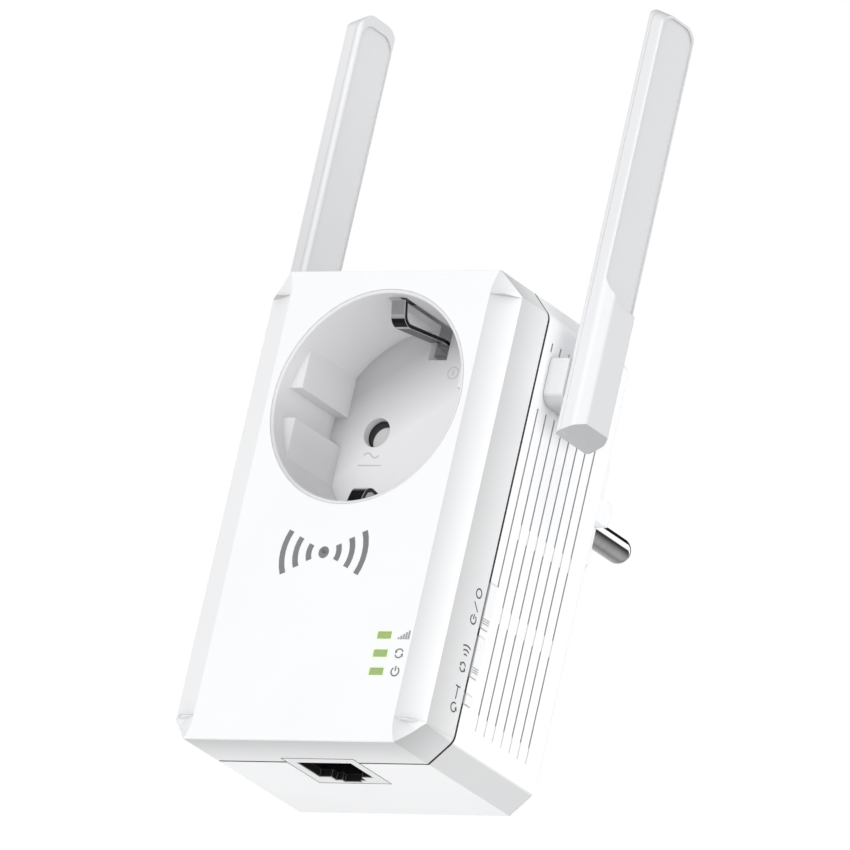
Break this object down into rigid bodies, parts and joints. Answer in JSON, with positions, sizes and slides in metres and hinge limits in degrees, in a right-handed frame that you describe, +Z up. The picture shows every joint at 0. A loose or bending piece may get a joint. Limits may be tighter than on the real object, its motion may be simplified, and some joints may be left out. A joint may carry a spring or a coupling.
{
  "type": "wifi range extender",
  "caption": "White plug-in network range extender with a pass-through earthed socket, side buttons, status lights, a network port and folding flat antennas.",
  "frame": {"origin": "centre of the plug face, midway between the pins", "axes": "+X to the right seen from the front, +Y towards the wall along the pins, +Z up along the raised antennas"},
  "size_m": [0.072, 0.0711, 0.1439],
  "materials": {
    "housing_white": "satin white moulding",
    "socket_white": "matt off-white moulding",
    "antenna_white": "fine satin white moulding",
    "button_white": "smooth white",
    "light_guide": "clear diffusing acrylic, lit green",
    "status_light": "green lamp",
    "nickel_plate": "polished nickel plate",
    "bright_steel": "bright sprung steel",
    "contact_brass": "stamped brass",
    "black_plastic": "matt black",
    "circuit_board": "green solder mask",
    "coil_tape": "yellow tape",
    "can_sleeve": "shrink sleeve",
    "ceramic_blue": "dipped ceramic",
    "fuse_glass": "glass tube",
    "insulation": "thin insulating film",
    "cable_sheath": "black sheath",
    "aerial_board": "aerial strip",
    "label_grey": "blank label"
  },
  "bodies": {
    "housing": {"board_leads": "cable_sheath", "board_link_pins": "contact_brass", "board_screws": "bright_steel", "case_screws": "bright_steel", "earth_post": "bright_steel", "front_cover": "housing_white", "fuse": "fuse_glass", "hinge_washers": "bright_steel", "insulation_sheet": "insulation", "jack_contacts": "contact_brass", "jack_frame": "button_white", "lead_plugs": "contact_brass", "light_guide": "light_guide", "live_contact": "contact_brass", "live_pin": "nickel_plate", "main_board": "circuit_board", "mains_wires": "cable_sheath", "memory_chip": "black_plastic", "network_jack": "black_plastic", "network_transformer": "black_plastic", "neutral_contact": "contact_brass", "neutral_pin": "nickel_plate", "output_capacitor": "can_sleeve", "pair_switch": "black_plastic", "plug_earth_clip": "bright_steel", "power_board": "circuit_board", "power_switch": "black_plastic", "rating_label": "label_grey", "rear_housing": "housing_white", "rectifier": "black_plastic", "reset_switch": "black_plastic", "safety_capacitor": "coil_tape", "shield_can": "bright_steel", "shutter_cover": "socket_white", "shutter_spring": "bright_steel", "smoothing_capacitors": "can_sleeve", "socket_earth_clip": "bright_steel", "socket_insert": "socket_white", "socket_screws": "bright_steel", "status_lights": "status_light", "transformer": "coil_tape", "varistor": "ceramic_blue", "wifi_chip": "black_plastic"},
    "right_antenna": {"right_antenna_shell": "antenna_white", "right_antenna_base": "antenna_white", "right_hinge_clip": "bright_steel", "right_antenna_element": "aerial_board", "right_antenna_lead": "cable_sheath"},
    "left_antenna": {"left_antenna_shell": "antenna_white", "left_antenna_base": "antenna_white", "left_hinge_clip": "bright_steel", "left_antenna_element": "aerial_board", "left_antenna_lead": "cable_sheath"},
    "power_key": {"power_button": "button_white", "power_plunger": "black_plastic"},
    "pair_key": {"pair_button": "button_white", "pair_plunger": "black_plastic"},
    "reset_key": {"reset_button": "button_white", "reset_plunger": "black_plastic"},
    "shutter": {"pin_shutter": "socket_white"}
  },
  "joints": [
    {"name": "right_antenna_fold", "type": "hinge", "parent": "housing", "child": "right_antenna", "pos_m": [0.02685, -0.0323, 0.01075], "axis": [1, 0, 0], "range_deg": [0, 180]},
    {"name": "left_antenna_fold", "type": "hinge", "parent": "housing", "child": "left_antenna", "pos_m": [-0.02685, -0.0323, 0.01075], "axis": [1, 0, 0], "range_deg": [0, 180]},
    {"name": "power_press", "type": "slide", "parent": "housing", "child": "power_key", "axis": [-1, 0, 0], "range_m": [0, 0.0008]},
    {"name": "pair_press", "type": "slide", "parent": "housing", "child": "pair_key", "axis": [-1, 0, 0], "range_m": [0, 0.0004]},
    {"name": "reset_press", "type": "slide", "parent": "housing", "child": "reset_key", "axis": [-1, 0, 0], "range_m": [0, 0.0004]},
    {"name": "shutter_turn", "type": "hinge", "parent": "housing", "child": "shutter", "pos_m": [0, -0.0318, 0.0024], "axis": [0, 1, 0], "range_deg": [0, 42], "stiffness_Nm_per_rad": 0.0005, "deforming": ["shutter_spring"]}
  ]
}
